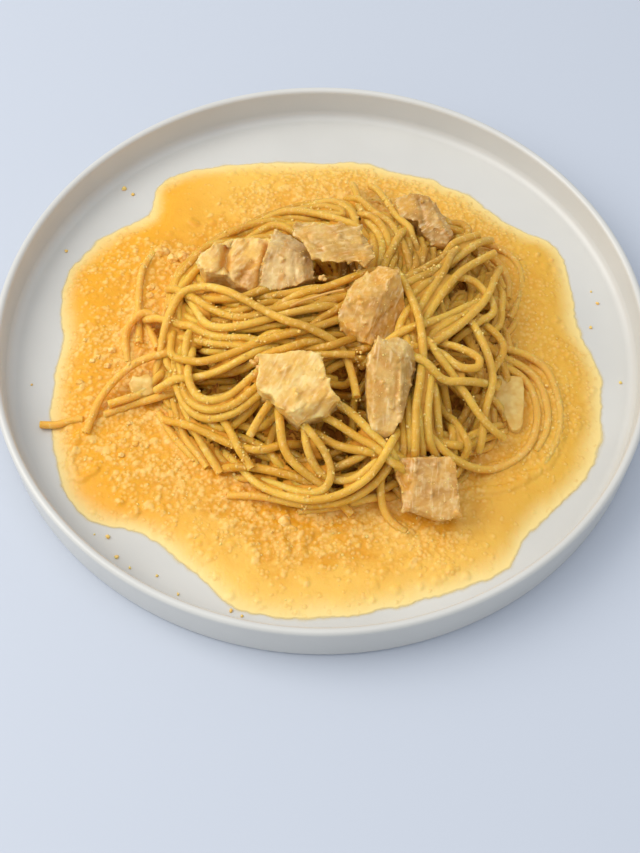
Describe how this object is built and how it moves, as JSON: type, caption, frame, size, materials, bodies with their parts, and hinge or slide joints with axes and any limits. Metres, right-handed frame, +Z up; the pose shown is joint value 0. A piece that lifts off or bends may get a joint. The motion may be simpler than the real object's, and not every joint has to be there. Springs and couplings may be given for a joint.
{
  "type": "plate of garlic noodles",
  "caption": "Round walled plate holding a tangled heap of garlic noodles in a shallow pool of grainy sauce, with diced chicken and slices of garlic.",
  "frame": {"origin": "on the table under the middle of the plate", "axes": "+Z up out of the plate, -Y towards the diner, +X to the diner's right"},
  "size_m": [0.255, 0.255, 0.0477],
  "materials": {
    "plate_glaze": "smooth satin off-white glaze",
    "sauce": "wet, grainy, slightly translucent garlic and cheese sauce",
    "noodles": "moist cooked pasta, glossy with sauce",
    "chicken": "cooked chicken breast, fibrous, matt to moist",
    "garlic": "cooked garlic, smooth and translucent"
  },
  "bodies": {
    "root": {"plate": "plate_glaze", "sauce_pool": "sauce", "noodle_heap": "noodles", "noodle_stray": "noodles", "chicken_front_left": "chicken", "chicken_front_right": "chicken", "chicken_middle": "chicken", "chicken_back_middle": "chicken", "chicken_back_left": "chicken", "chicken_flake": "chicken", "chicken_in_sauce": "chicken", "chicken_back_right": "chicken", "garlic_slice": "garlic", "garlic_piece": "garlic"}
  },
  "joints": []
}
